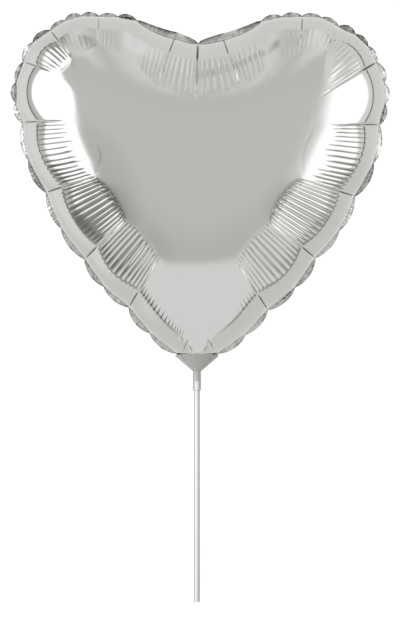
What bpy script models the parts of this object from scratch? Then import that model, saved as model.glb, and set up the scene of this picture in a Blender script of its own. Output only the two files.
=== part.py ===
# Silver heart-shaped foil balloon, clipped into a plastic cup on a stick.
# Metres, +Z up, the front faces -Y. The origin is the centre of the stick's lower end.
import math

import bmesh
import bpy
import numpy as np
from mathutils import Vector
from mathutils.geometry import delaunay_2d_cdt

# Stick: a thin plastic tube
STICK_RADIUS = 0.00265
STICK_BORE_RADIUS = 0.0019
STICK_LENGTH = 0.2055
FIT_GAP = 0.0003

# Cup: a cone of four petals on a socket that takes the stick
SOCKET_RADIUS = 0.00365
SOCKET_FOOT_Z = 0.1970
CONE_FOOT_Z = 0.2144
CONE_SIDE_RIM_Z = 0.2292
CONE_SIDE_RIM_RADIUS = 0.0209
CONE_FRONT_RISE = 0.0022
CUP_WALL = 0.0008
THROAT_RADIUS = 0.0015
SLOT_WIDTH = 0.0012
SLOT_FOOT_Z = 0.2241
SLOT_ANGLES = (45.0, 135.0)
CUP_SIDES = 48

# Balloon: two foil sheets sealed together along a gathered rim
HALF_DEPTH = 0.0740
SHELL_WALL = 0.0024
PLEAT_PITCH = 0.0085
PLEAT_HEIGHT = 0.0009
PLEAT_START = 0.0110
PLEAT_FADE = 0.15
BOW_REACH = 0.0360
FOLD_DEPTH = 0.0012
FOLD_END = 0.80
MELT_START = 0.80
OUTER_RUNS = (0.0, 0.03, 0.10, 0.21, 0.36, 0.55, 0.78, 1.0)
INNER_RUNS = (0.0, 0.15, 0.45, 1.0)
OUTER_PITCH = 0.0140
INNER_PITCH = 0.0200
LOOP_CLEARANCE = 0.6
PROFILE_DEPTH = 0.1200
PROFILE_STEPS = 240
RIM_STEPS = 12
FILM_STEPS = 400
TINY = 1e-7

# Hem: the sealed border outside the rim, in small bumps
HEM_HALF_THICKNESS = 0.0005
HEM_REACH = 0.0045
HEM_VALLEY = 0.0008
HEM_IN_CUP = 0.0012
HEM_OVERLAP = 0.0020
HEM_STEPS_PER_BUMP = 4

# Rim of the heart, clockwise from the cleft as seen from the front. Each row starts at a notch, where
# the film is gathered, and holds the panel of film that runs in from the rim after it.
# Columns: x and z of the notch, x and z of the inner end of its fold, how far the rim bows out after it,
# how far the panel's inner end bows in, height of its pleats (1 is full), how far along the panel they
# run, whether the panel's sides are straight (1) or round (0), and the number of bumps of the hem.
PANELS = (
    (0.0009, 0.5189, -0.0012, 0.4640, -0.0006, 0.000, 0.90, 0.97, 1, 0.5),
    (0.0242, 0.5231, 0.0405, 0.4740, -0.0022, 0.002, 0.60, 0.97, 1, 0.5),
    (0.0605, 0.5403, 0.0690, 0.4960, 0.0016, 0.002, 0.45, 0.97, 1, 2),
    (0.0977, 0.5444, 0.0955, 0.5070, 0.0036, 0.003, 0.60, 0.97, 1, 2),
    (0.1315, 0.5349, 0.1180, 0.5060, 0.0061, 0.004, 0.85, 0.97, 1, 3),
    (0.1671, 0.5017, 0.1100, 0.4660, 0.0070, 0.004, 0.06, 0.60, 1, 3),
    (0.1693, 0.4436, 0.1120, 0.4410, 0.0065, 0.002, 1.00, 0.92, 1, 3),
    (0.1463, 0.3771, 0.0930, 0.3920, 0.0050, 0.006, 0.75, 0.98, 1, 3),
    (0.1097, 0.3199, 0.0660, 0.3540, 0.0045, 0.003, 0.90, 0.98, 1, 3),
    (0.0656, 0.2718, 0.0363, 0.3180, 0.0035, 0.000, 0.60, 0.40, 0, 2),
    (0.0195, 0.2315, 0.0120, 0.2560, 0.0000, 0.000, 0.00, 0.50, 0, 0),
    (0.0060, 0.2195, 0.0040, 0.2450, 0.0000, 0.000, 0.00, 0.50, 0, 0),
    (-0.0060, 0.2195, -0.0020, 0.2450, 0.0000, 0.000, 0.00, 0.50, 0, 0),
    (-0.0195, 0.2315, -0.0110, 0.2560, 0.0035, 0.000, 0.80, 0.44, 0, 2),
    (-0.0632, 0.2742, -0.0345, 0.3215, 0.0042, 0.003, 0.90, 0.98, 1, 3),
    (-0.1042, 0.3190, -0.0650, 0.3560, 0.0047, 0.004, 0.80, 0.98, 1, 3),
    (-0.1399, 0.3807, -0.0920, 0.3945, 0.0060, -0.004, 1.00, 0.92, 1, 3),
    (-0.1618, 0.4455, -0.1130, 0.4460, 0.0075, 0.011, 0.06, 0.60, 1, 3),
    (-0.1613, 0.5022, -0.1290, 0.4890, 0.0050, 0.003, 0.95, 0.97, 1, 2),
    (-0.1363, 0.5314, -0.1150, 0.5040, 0.0056, 0.002, 0.40, 0.97, 1, 3),
    (-0.0911, 0.5444, -0.0915, 0.5160, 0.0014, 0.002, 0.35, 0.97, 1, 2),
    (-0.0567, 0.5409, -0.0600, 0.5010, -0.0022, 0.002, 0.60, 0.97, 1, 0.5),
    (-0.0207, 0.5245, -0.0370, 0.4760, -0.0006, 0.000, 0.80, 0.97, 1, 0.5),
)

# Fill tail: the flattened neck of the balloon, pushed down into the cup
TAIL_TOP_HALF_WIDTH = 0.0058
TAIL_FOOT_HALF_WIDTH = 0.0024
TAIL_TOP_Z = 0.2180
TAIL_FOOT_Z = 0.2156
TAIL_HALF_THICKNESS = 0.0007


def clear_scene():
    for item in list(bpy.data.objects):
        bpy.data.objects.remove(item, do_unlink=True)


def make_material(name, colour, roughness, metallic):
    material = bpy.data.materials.new(name)
    material.use_nodes = True
    shader = material.node_tree.nodes["Principled BSDF"]
    shader.inputs["Base Color"].default_value = (*colour, 1.0)
    shader.inputs["Roughness"].default_value = roughness
    shader.inputs["Metallic"].default_value = metallic
    return material


def add_solid(name, points, faces, material, parent=None, sharp_angle=30.0):
    """One closed mesh object with its faces turned outwards."""
    mesh = bpy.data.meshes.new(name)
    mesh.from_pydata([tuple(point) for point in points], [], faces)
    shape = bmesh.new()
    shape.from_mesh(mesh)
    bmesh.ops.recalc_face_normals(shape, faces=shape.faces)
    shape.to_mesh(mesh)
    shape.free()
    mesh.shade_smooth()
    mesh.set_sharp_from_angle(angle=math.radians(sharp_angle))
    mesh.materials.append(material)
    item = bpy.data.objects.new(name, mesh)
    bpy.context.collection.objects.link(item)
    if parent is not None:
        item.parent = parent
        item.matrix_parent_inverse = parent.matrix_world.inverted()
    return item


def ring_faces(count, first, second):
    """Quads between two rings of the same count, given by their first points' numbers."""
    return [
        (first + i, first + (i + 1) % count, second + (i + 1) % count, second + i)
        for i in range(count)
    ]


def turned_solid(name, rings, sides, material, parent=None):
    """A solid of revolution about the Z axis; each ring gives (radius, z) for an angle."""
    points = []
    for ring in rings:
        for i in range(sides):
            angle = math.tau * i / sides
            radius, z = ring(angle)
            points.append((radius * math.cos(angle), radius * math.sin(angle), z))
    faces = []
    for k in range(len(rings)):
        faces += ring_faces(sides, k * sides, (k + 1) % len(rings) * sides)
    return add_solid(name, points, faces, material, parent)


def flat_ring(radius, z):
    return lambda angle: (radius, z)


def cone_radius(z):
    """Outer radius of the cup's cone at a height."""
    slope = (CONE_SIDE_RIM_RADIUS - SOCKET_RADIUS) / (CONE_SIDE_RIM_Z - CONE_FOOT_Z)
    return SOCKET_RADIUS + (z - CONE_FOOT_Z) * slope


def cone_rim_z(angle):
    """The front and back petals stand a little higher than the side ones."""
    return CONE_SIDE_RIM_Z + CONE_FRONT_RISE * math.sin(angle) ** 2


def cut(target, cutter):
    cutter.hide_render = True
    cutter.display_type = "WIRE"
    boolean = target.modifiers.new("Cut", "BOOLEAN")
    boolean.operation = "DIFFERENCE"
    boolean.object = cutter


def make_stick(material):
    rings = (
        flat_ring(STICK_RADIUS, STICK_LENGTH),
        flat_ring(STICK_RADIUS, 0.0),
        flat_ring(STICK_BORE_RADIUS, 0.0),
        flat_ring(STICK_BORE_RADIUS, STICK_LENGTH),
    )
    return turned_solid("stick", rings, 24, material)


def make_cup(material, parent):
    """Socket with a shoulder that the stick's end butts on, and a slotted cone above it."""
    wall = CUP_WALL * math.sqrt(2.0)
    bore = STICK_RADIUS + FIT_GAP
    shoulder_z = STICK_LENGTH + FIT_GAP
    throat_z = CONE_FOOT_Z + 2.0 * CUP_WALL
    rings = (
        lambda angle: (cone_radius(cone_rim_z(angle)), cone_rim_z(angle)),
        flat_ring(SOCKET_RADIUS, CONE_FOOT_Z),
        flat_ring(SOCKET_RADIUS, SOCKET_FOOT_Z),
        flat_ring(bore, SOCKET_FOOT_Z),
        flat_ring(bore, shoulder_z),
        flat_ring(THROAT_RADIUS, shoulder_z),
        flat_ring(THROAT_RADIUS, throat_z - CUP_WALL),
        flat_ring(cone_radius(throat_z) - wall, throat_z - CUP_WALL),
        lambda angle: (cone_radius(cone_rim_z(angle)) - wall, cone_rim_z(angle)),
    )
    cup = turned_solid("cup", rings, CUP_SIDES, material, parent)
    slot_top = CONE_SIDE_RIM_Z + 4.0 * CONE_FRONT_RISE
    length = 4.0 * CONE_SIDE_RIM_RADIUS
    for angle in SLOT_ANGLES:
        bpy.ops.mesh.primitive_cube_add(size=1.0)
        cutter = bpy.context.object
        cutter.name = f"slot_cutter_{angle:.0f}"
        cutter.scale = (length, SLOT_WIDTH, slot_top - SLOT_FOOT_Z)
        cutter.rotation_euler = (0.0, 0.0, math.radians(angle))
        cutter.location = (0.0, 0.0, (slot_top + SLOT_FOOT_Z) / 2.0)
        cut(cup, cutter)
    return cup


def ease(x):
    """Smooth step from 0 at 0 to 1 at 1."""
    x = np.clip(x, 0.0, 1.0)
    return x * x * (3.0 - 2.0 * x)


def rim_spans():
    """Each scallop from notch to notch, with its length, its inward direction and its panel."""
    spans = []
    for index, row in enumerate(PANELS):
        after = PANELS[(index + 1) % len(PANELS)]
        start, end = np.array(row[0:2]), np.array(after[0:2])
        length = float(np.linalg.norm(end - start))
        along = (end - start) / length
        spans.append(dict(
            start=start, end=end, length=length, along=along,
            inward=np.array((along[1], -along[0])),
            fold_start=np.array(row[2:4]), fold_end=np.array(after[2:4]),
            bow=row[4], inner_bow=row[5], pleat_share=row[6], pleat_reach=row[7],
            straight=row[8], bumps=row[9],
        ))
    return spans


def rim_point(span, t):
    """Point of the rim at the share t of a scallop, bowed out between its notches."""
    bow = 4.0 * span["bow"] * t * (1.0 - t)
    return span["start"] + (span["end"] - span["start"]) * t - span["inward"] * bow


def panel_end(span, t):
    """Point where the panel that starts at the share t of the rim runs out into the round middle."""
    bow = 4.0 * span["inner_bow"] * t * (1.0 - t)
    return span["fold_start"] + (span["fold_end"] - span["fold_start"]) * t + span["inward"] * bow


def inward_direction(spans, index, t):
    """Across a scallop it is square to the rim; at a notch it is the mean of both sides."""
    here = spans[index]["inward"]
    near = spans[index - 1]["inward"] if t < 0.5 else spans[(index + 1) % len(spans)]["inward"]
    share = 0.5 * (1.0 - 2.0 * t) ** 2
    mixed = here * (1.0 - share) + near * share
    return mixed / np.linalg.norm(mixed)


def panel_columns(spans):
    """Columns of the film's mesh, two to a pleat: their ends, their span and their share of it."""
    outer, inner, number, share, pleats = [], [], [], [], []
    for index, span in enumerate(spans):
        count = max(1, round(span["length"] / PLEAT_PITCH))
        for step in range(2 * count):
            t = step / (2 * count)
            outer.append(rim_point(span, t))
            inner.append(panel_end(span, t))
            number.append(index)
            share.append(t)
            pleats.append(count)
    return dict(outer=np.array(outer), inner=np.array(inner), number=np.array(number),
                share=np.array(share), pleats=np.array(pleats))


def bulge(points, outline):
    """How far a film over the outline bulges: pi over the sum of 1 / distance squared along it."""
    ends = np.roll(outline, -1, axis=0)
    lengths = np.linalg.norm(ends - outline, axis=1)
    along = (ends - outline) / lengths[:, None]
    total = np.zeros(len(points))
    for (x, z), length, (ax, az) in zip(outline, lengths, along):
        dx, dz = points[:, 0] - x, points[:, 1] - z
        aside = dx * az - dz * ax
        aside = np.where(np.abs(aside) < TINY, TINY, aside)
        back = -(dx * ax + dz * az)
        total += (np.arctan((back + length) / aside) - np.arctan(back / aside)) / aside
    return math.pi / total


def span_profiles(spans, outline):
    """Bulge against the distance in from the middle of each scallop."""
    tests = np.linspace(0.0, PROFILE_DEPTH, PROFILE_STEPS + 1)
    profiles = []
    for span in spans:
        line = rim_point(span, 0.5) + span["inward"] * np.maximum(tests, TINY)[:, None]
        values = bulge(line, outline)
        first = int(np.searchsorted(tests, SHELL_WALL))
        values[:first] = values[first] * tests[:first] / tests[first]
        profiles.append(np.maximum.accumulate(values))
    return tests, profiles


def distance_in(spot, span):
    """How far in from the rim a point is, square to the scallop."""
    flat = (spot - span["start"]) @ span["inward"]
    t = np.clip((spot - span["start"]) @ span["along"] / span["length"], 0.0, 1.0)
    bow = 4.0 * span["bow"] * t * (1.0 - t)
    return np.maximum(flat + bow * (1.0 - ease(flat / BOW_REACH)), 0.0)


def panel_bulge(spans, outline, columns, places, runs):
    """Bulge along the panels, whose sides are straight across and meet at the folds."""
    tests, profiles = span_profiles(spans, outline)
    smooth = bulge(places, outline)
    panel = np.zeros(len(places))
    for k, span in enumerate(spans):
        mine = columns["number"] == k
        before, after = spans[k - 1], spans[(k + 1) % len(spans)]
        run, t = runs[mine][:, None], columns["share"][mine]
        start_fold = span["start"] + (span["fold_start"] - span["start"]) * run
        end_fold = span["end"] + (span["fold_end"] - span["end"]) * run
        start_shift = (distance_in(start_fold, before) - distance_in(start_fold, span)) / 2.0
        end_shift = (distance_in(end_fold, after) - distance_in(end_fold, span)) / 2.0
        reach = distance_in(places[mine], span) + (1.0 - t) * start_shift + t * end_shift
        own = np.interp(reach, tests, profiles[k])
        left = np.interp(reach, tests, profiles[k - 1])
        right = np.interp(reach, tests, profiles[(k + 1) % len(spans)])
        panel[mine] = (1.0 - t) * (own + left) / 2.0 + t * (own + right) / 2.0
    straight = np.array([min(spans[k]["straight"], spans[k - 1]["straight"]) for k in range(len(spans))])
    hold = np.minimum(straight, np.roll(straight, -1))[columns["number"]]
    blend = hold * (1.0 - ease((runs - MELT_START) / (1.0 - MELT_START)))
    return smooth + (panel - smooth) * blend


def film_height(share):
    """Height of an inflated film that can't stretch, from 0 at the rim to 1 at its peak."""
    angles = np.linspace(0.0, math.pi / 2.0, FILM_STEPS)
    slopes = np.sqrt(np.sin(angles))
    heights = np.concatenate(([0.0], np.cumsum((slopes[1:] + slopes[:-1]) / 2.0)))
    heights = 1.0 - heights / heights[-1]
    angle = np.arcsin(np.clip(1.0 - share, 0.0, 1.0))
    return np.interp(angle, angles, heights)


def room_in_cup(points):
    """Greatest height above the rim plane that keeps the foil inside the cup's cone."""
    room = cone_radius(points[:, 1]) - CUP_WALL * math.sqrt(2.0) - 2.0 * FIT_GAP
    return np.sqrt(np.maximum(room**2 - points[:, 0] ** 2, 0.0)) - HEM_HALF_THICKNESS - FIT_GAP


def inside_loop(loop, points):
    """True where a point lies inside the loop, by counting the edges beside it."""
    inside = np.zeros(len(points), dtype=bool)
    for (ax, az), (bx, bz) in zip(loop, np.roll(loop, -1, axis=0)):
        if az == bz:
            continue
        crosses = (points[:, 1] < az) != (points[:, 1] < bz)
        inside ^= crosses & (points[:, 0] < ax + (points[:, 1] - az) * (bx - ax) / (bz - az))
    return inside


def fill_loop(loop, pitch):
    """Even points inside a loop, and the triangles that join them with it."""
    low, high = loop.min(axis=0), loop.max(axis=0)
    rows = np.arange(low[1], high[1], pitch * math.sqrt(0.75))
    steps = np.arange(low[0], high[0], pitch)
    grid = np.array([(x + (k % 2) * pitch / 2.0, z) for k, z in enumerate(rows) for x in steps])
    grid = grid[inside_loop(loop, grid)]
    gap = np.min(np.linalg.norm(grid[:, None] - loop[None], axis=2), axis=1)
    grid = grid[gap > LOOP_CLEARANCE * pitch]
    points = np.vstack((loop, grid))
    corners = [tuple(point) for point in points]
    found = delaunay_2d_cdt(corners, [], [list(range(len(loop)))], 1, TINY)
    order = [origin[0] for origin in found[3]]
    faces = [tuple(order[corner] for corner in face) for face in found[2]]
    return grid, faces


def halved_faces(count, first, second):
    """Triangles from a ring of an even count to a ring with every second of its points."""
    faces = []
    half = count // 2
    for i in range(half):
        here, between, after = first + 2 * i, first + 2 * i + 1, first + (2 * i + 2) % count
        near, far = second + i, second + (i + 1) % half
        faces += [(here, between, near), (between, after, far), (between, far, near)]
    return faces


def pleat_relief(spans, columns, run, away):
    """Pleats stand up on each panel, past a smooth band along the rim; a fold runs in from each notch."""
    number = columns["number"]
    height = PLEAT_HEIGHT * np.array([span["pleat_share"] for span in spans])[number]
    reach = np.array([span["pleat_reach"] for span in spans])[number]
    wave = np.sin(math.pi * columns["share"] * columns["pleats"]) ** 2
    start = ease((away - PLEAT_START) / PLEAT_START + 1.0)
    end = 1.0 - ease((run - reach) / PLEAT_FADE + 1.0)
    at_notch = (columns["share"] == 0.0) & (run > 0.0)
    fold = np.where(at_notch, FOLD_DEPTH * (1.0 - ease(run / FOLD_END)), 0.0)
    return height * wave * start * end - fold


def surface_normals(rings, ahead, behind):
    """Outward normals of a ring from its neighbours in the rings before and after it."""
    along = np.roll(rings, -1, axis=0) - np.roll(rings, 1, axis=0)
    normal = np.cross(along, ahead - behind)
    return normal / np.linalg.norm(normal, axis=1)[:, None]


def outer_skin(spans, outline, columns, peak):
    """Rings of the outside, as (x, height, z), and the loop where the middle starts."""
    outer, across = columns["outer"], columns["inner"] - columns["outer"]
    lengths = np.linalg.norm(across, axis=1)
    rings, reliefs = [], []
    for run in OUTER_RUNS:
        runs = np.full(len(outer), run)
        places = outer + across * run
        if run > 0.0:
            height = HALF_DEPTH * film_height(panel_bulge(spans, outline, columns, places, runs) / peak)
        else:
            height = np.zeros(len(outer))
        rings.append(np.column_stack((places[:, 0], height, places[:, 1])))
        reliefs.append(pleat_relief(spans, columns, runs, lengths * run))
    moved = []
    for k, (ring, relief) in enumerate(zip(rings, reliefs)):
        ahead, behind = rings[min(k + 1, len(rings) - 1)], rings[max(k - 1, 0)]
        ring = ring + surface_normals(ring, ahead, behind) * relief[:, None]
        ring[:, 1] = np.clip(ring[:, 1], 0.0, np.maximum(room_in_cup(ring[:, ::2]), 0.0))
        moved.append(ring)
    moved[-1] = moved[-1][::2]
    return moved


def inner_skin(spans, outline, columns, peak):
    """Rings of the inside, on every second column, one wall within the outside."""
    half = {key: values[::2] for key, values in columns.items()}
    across = half["inner"] - half["outer"]
    lengths = np.linalg.norm(across, axis=1)
    first = SHELL_WALL / lengths
    rings, floor = [], None
    for run in INNER_RUNS:
        runs = first + (1.0 - first) * run
        places = half["outer"] + across * runs[:, None]
        share = panel_bulge(spans, outline, half, places, runs) / peak
        if floor is None:
            floor = share
        here = floor + (floor.mean() - floor) * run
        height = (HALF_DEPTH - SHELL_WALL) * film_height(np.clip((share - here) / (1.0 - here), 0.0, 1.0))
        height = np.clip(height, 0.0, np.maximum(room_in_cup(places) - SHELL_WALL, 0.0))
        rings.append(np.column_stack((places[:, 0], height, places[:, 1])))
    return rings, float(floor.mean())


def make_foil_half(name, spans, side, material, parent):
    """One half of the envelope: an open dish whose rim lies just off the hem; side is -1 in front."""
    columns = panel_columns(spans)
    outline = np.array([rim_point(span, k / RIM_STEPS) for span in spans for k in range(RIM_STEPS)])
    loop = columns["inner"][::2]
    middle, middle_faces = fill_loop(loop, OUTER_PITCH)
    lining, lining_faces = fill_loop(loop, INNER_PITCH)
    peak = bulge(middle, outline).max()
    outer = outer_skin(spans, outline, columns, peak)
    inner, floor = inner_skin(spans, outline, columns, peak)

    height = HALF_DEPTH * film_height(bulge(middle, outline) / peak)
    crown = np.column_stack((middle[:, 0], height, middle[:, 1]))
    share = (bulge(lining, outline) / peak - floor) / (1.0 - floor)
    height = (HALF_DEPTH - SHELL_WALL) * film_height(np.clip(share, 0.0, 1.0))
    vault = np.column_stack((lining[:, 0], height, lining[:, 1]))

    count, half = len(columns["share"]), len(loop)
    inner_first = sum(len(ring) for ring in outer) + len(crown)
    points = np.vstack(outer + [crown] + inner + [vault])
    rim_y = HEM_HALF_THICKNESS + FIT_GAP
    points[:, 1] = side * (rim_y + points[:, 1])

    faces = []
    last = len(outer) - 1
    for row in range(last - 1):
        faces += ring_faces(count, row * count, (row + 1) * count)
    faces += halved_faces(count, (last - 1) * count, last * count)
    faces += [tuple(last * count + corner for corner in face) for face in middle_faces]
    faces += halved_faces(count, 0, inner_first)
    for row in range(len(inner) - 1):
        faces += ring_faces(half, inner_first + row * half, inner_first + (row + 1) * half)
    inner_last = inner_first + (len(inner) - 1) * half
    faces += [tuple(inner_last + corner for corner in face) for face in lining_faces]
    return add_solid(name, points, faces, material, parent)


def make_hem(spans, material, parent):
    """The flat sealed border between the two foil halves, with its bumpy outer edge."""
    outside, inside = [], []
    phase = 0.0
    for index, span in enumerate(spans):
        steps = max(2, round(HEM_STEPS_PER_BUMP * span["bumps"]))
        for step in range(steps):
            t = step / steps
            wave = abs(math.sin(math.pi * (phase + span["bumps"] * t)))
            reach = HEM_VALLEY + (HEM_REACH - HEM_VALLEY) * wave if span["bumps"] else HEM_IN_CUP
            point, inward = rim_point(span, t), inward_direction(spans, index, t)
            outside.append(point - inward * reach)
            inside.append(point + inward * HEM_OVERLAP)
        phase += span["bumps"]
    points = []
    for y in (-HEM_HALF_THICKNESS, HEM_HALF_THICKNESS):
        for ring in (outside, inside):
            points += [(x, y, z) for x, z in ring]
    count = len(outside)
    faces = []
    for first, second in ((0, 1), (1, 3), (3, 2), (2, 0)):
        faces += ring_faces(count, first * count, second * count)
    return add_solid("seam_flange", points, faces, material, parent)


def make_tail(material, parent):
    """A flat wedge that goes on from the balloon's tip into the cup's throat."""
    corners = (
        (-TAIL_TOP_HALF_WIDTH, TAIL_TOP_Z),
        (TAIL_TOP_HALF_WIDTH, TAIL_TOP_Z),
        (TAIL_FOOT_HALF_WIDTH, TAIL_FOOT_Z),
        (-TAIL_FOOT_HALF_WIDTH, TAIL_FOOT_Z),
    )
    points = [(x, side * TAIL_HALF_THICKNESS, z) for side in (-1, 1) for x, z in corners]
    count = len(corners)
    faces = [tuple(range(count)), tuple(range(count, 2 * count))] + ring_faces(count, 0, count)
    return add_solid("fill_tail", points, faces, material, parent)


def main():
    clear_scene()
    foil = make_material("silver_foil", (0.74, 0.74, 0.72), 0.12, 1.0)
    seam = make_material("sealed_foil", (0.60, 0.60, 0.57), 0.28, 1.0)
    frosted = make_material("frosted_plastic", (0.55, 0.55, 0.53), 0.40, 0.0)
    white = make_material("white_plastic", (0.90, 0.90, 0.90), 0.25, 0.0)

    slide = bpy.data.objects.new("cup_slide", None)
    slide.location = Vector((0.0, 0.0, STICK_LENGTH))
    bpy.context.collection.objects.link(slide)
    bpy.context.view_layer.update()

    make_stick(white)
    make_cup(frosted, slide)
    spans = rim_spans()
    make_foil_half("foil_front", spans, -1, foil, slide)
    make_foil_half("foil_back", spans, 1, foil, slide)
    make_hem(spans, seam, slide)
    make_tail(foil, slide)


main()
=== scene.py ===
import math

import bpy
import numpy as np
from mathutils.geometry import delaunay_2d_cdt
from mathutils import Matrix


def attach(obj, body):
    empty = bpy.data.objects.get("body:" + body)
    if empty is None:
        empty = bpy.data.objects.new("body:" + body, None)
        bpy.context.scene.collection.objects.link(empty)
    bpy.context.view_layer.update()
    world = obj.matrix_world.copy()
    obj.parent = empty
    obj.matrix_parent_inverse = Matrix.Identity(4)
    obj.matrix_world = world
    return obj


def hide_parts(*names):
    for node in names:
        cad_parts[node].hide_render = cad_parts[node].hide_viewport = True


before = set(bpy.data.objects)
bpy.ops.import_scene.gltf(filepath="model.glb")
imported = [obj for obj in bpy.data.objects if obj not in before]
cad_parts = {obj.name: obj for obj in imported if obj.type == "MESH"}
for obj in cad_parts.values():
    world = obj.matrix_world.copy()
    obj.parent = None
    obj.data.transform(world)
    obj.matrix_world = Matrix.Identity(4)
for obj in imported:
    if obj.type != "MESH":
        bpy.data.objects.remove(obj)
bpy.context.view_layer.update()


# Photograph: its size in pixels, the size of a pixel and where the stick's lower end is in it
photo = {
    "width": 400,
    "height": 617,
    "metresPerPixel": 0.00093,
    "stickX": 197.0,
    "stickY": 602.0,
}

# Camera: level and far away, straight in front
view = {
    "distance": 7.0,
    "sensor": 36.0,
    "clipEnd": 100.0,
}


def addCamera():
    # the middle of the photograph, in the part's own metres
    middleX = (photo["width"] / 2 - photo["stickX"]) * photo["metresPerPixel"]
    middleZ = (photo["stickY"] - photo["height"] / 2) * photo["metresPerPixel"]
    shownHeight = photo["height"] * photo["metresPerPixel"]
    data = bpy.data.cameras.new("camera")
    data.sensor_fit = "VERTICAL"
    data.sensor_height = view["sensor"]
    data.lens = view["sensor"] * view["distance"] / shownHeight
    data.clip_end = view["clipEnd"]
    camera = bpy.data.objects.new("camera", data)
    camera.location = (middleX, -view["distance"], middleZ)
    camera.rotation_euler = (math.radians(90), 0, 0)
    bpy.context.scene.collection.objects.link(camera)
    bpy.context.scene.camera = camera


# Mesh helpers

def addMesh(name, points, faces, material, shade=None):
    mesh = bpy.data.meshes.new(name)
    mesh.from_pydata([tuple(p) for p in points], [], faces)
    mesh.materials.append(material)
    mesh.shade_smooth()
    if shade is not None:
        # painted shade: how dark the material is at each point
        layer = mesh.attributes.new("fold", "FLOAT", "POINT")
        layer.data.foreach_set("value", shade.astype(np.float32))
    piece = bpy.data.objects.new(name, mesh)
    bpy.context.scene.collection.objects.link(piece)
    return piece


def baked(piece):
    # the piece's mesh with its modifiers worked in
    bpy.context.view_layer.update()
    whole = piece.evaluated_get(bpy.context.evaluated_depsgraph_get())
    mesh = bpy.data.meshes.new_from_object(whole)
    piece.modifiers.clear()
    piece.data = mesh
    return piece


def ringFaces(count, first, second, flip=False):
    faces = []
    for i in range(count):
        k = (i + 1) % count
        face = (first + i, first + k, second + k, second + i)
        faces.append(face[::-1] if flip else face)
    return faces


def anglesRound(count):
    return [2 * math.pi * k / count for k in range(count)]


def turned(name, profile, sides, material):
    # a closed ring-shaped body; each ring of the profile is a radius and a height, or gives them for an angle
    points, faces = [], []
    for ring in profile:
        for angle in anglesRound(sides):
            radius, z = ring(angle) if callable(ring) else ring
            points.append((radius * math.cos(angle), radius * math.sin(angle), z))
    for k in range(len(profile)):
        faces += ringFaces(sides, k * sides, (k + 1) % len(profile) * sides, flip=True)
    return addMesh(name, points, faces, material)


def ease(x, start, end):
    # smooth step from 0 at start to 1 at end, which may be the lower of the two
    x = np.clip((x - start) / (end - start), 0.0, 1.0)
    return x * x * (3.0 - 2.0 * x)


def between(first, last, share):
    return first + (last - first) * share


def lengthsOf(rows):
    return np.linalg.norm(rows, axis=1)


def unitRows(rows):
    return rows / lengthsOf(rows)[:, None]


def unit(vector):
    return vector / np.linalg.norm(vector)


# Cup: a slotted cone on a socket for the stick
cup = {
    "socketRadius": 0.00365,
    "socketFoot": 0.1970,
    "coneFoot": 0.2144,
    "sideRimZ": 0.2292,
    "sideRimRadius": 0.0209,
    "frontRise": 0.0022,      # how much higher the front and back petals stand
    "wall": 0.0008,
    "throat": 0.0015,
    "clear": 0.0006,
    "slotWidth": 0.0007,
    "slotFoot": 0.2241,
    "slotTop": 0.2380,
    "slotAngles": (45.0, 135.0),
    "outerRings": (1.0, 0.75, 0.5, 0.25),  # of the mesh, as shares of the cone's height
    "innerRings": (0.4, 0.6, 0.8, 1.0),
    "sides": 144,
    "softEdge": 0.00018,
    "edgeAngle": 40.0,
}
coneWall = cup["wall"] * math.sqrt(2.0)  # level through the leaning wall

stick = {
    "radius": 0.00265,
    "bore": 0.0019,
    "length": 0.2055,
    "fitGap": 0.0003,
    "softEdge": 0.0003,
    "endRings": 7,            # of its rounded ends
    "sides": 64,
}


def coneRadius(z):
    slope = (cup["sideRimRadius"] - cup["socketRadius"]) / (cup["sideRimZ"] - cup["coneFoot"])
    return cup["socketRadius"] + (z - cup["coneFoot"]) * slope


def coneRimZ(angle):
    return cup["sideRimZ"] + cup["frontRise"] * math.sin(angle) ** 2


def makeCup(material):
    bore = stick["radius"] + stick["fitGap"]
    shoulder = stick["length"] + stick["fitGap"]
    bottom = cup["coneFoot"] + cup["wall"]

    def onCone(share, inset):
        # a ring on the cone's side, from 0 at its foot to 1 at its rim
        def place(angle):
            z = between(cup["coneFoot"], coneRimZ(angle), share)
            return coneRadius(z) - inset, z
        return place

    profile = [onCone(share, 0.0) for share in cup["outerRings"]]
    profile += [(cup["socketRadius"], cup["coneFoot"]), (cup["socketRadius"], cup["socketFoot"]),
                (bore, cup["socketFoot"]), (bore, shoulder), (cup["throat"], shoulder),
                (cup["throat"], bottom), (coneRadius(bottom + cup["wall"]) - coneWall, bottom)]
    profile += [onCone(share, coneWall) for share in cup["innerRings"]]
    piece = turned("petal_cup", profile, cup["sides"], material)
    for angle in cup["slotAngles"]:
        bpy.ops.mesh.primitive_cube_add(size=1.0)
        cutter = bpy.context.object
        cutter.scale = (4.0 * cup["sideRimRadius"], cup["slotWidth"], cup["slotTop"] - cup["slotFoot"])
        cutter.rotation_euler = (0.0, 0.0, math.radians(angle))
        cutter.location = (0.0, 0.0, (cup["slotTop"] + cup["slotFoot"]) / 2.0)
        slot = piece.modifiers.new("slot", "BOOLEAN")
        slot.operation = "DIFFERENCE"
        slot.solver = "EXACT"
        slot.object = cutter
        baked(piece)
        bpy.data.objects.remove(cutter)
    edge = piece.modifiers.new("edge", "BEVEL")
    edge.width = cup["softEdge"]
    edge.segments = 2
    edge.limit_method = "ANGLE"
    edge.angle_limit = math.radians(cup["edgeAngle"])
    baked(piece)
    piece.data.shade_smooth()
    piece.modifiers.new("normals", "WEIGHTED_NORMAL")
    return baked(piece)


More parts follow.
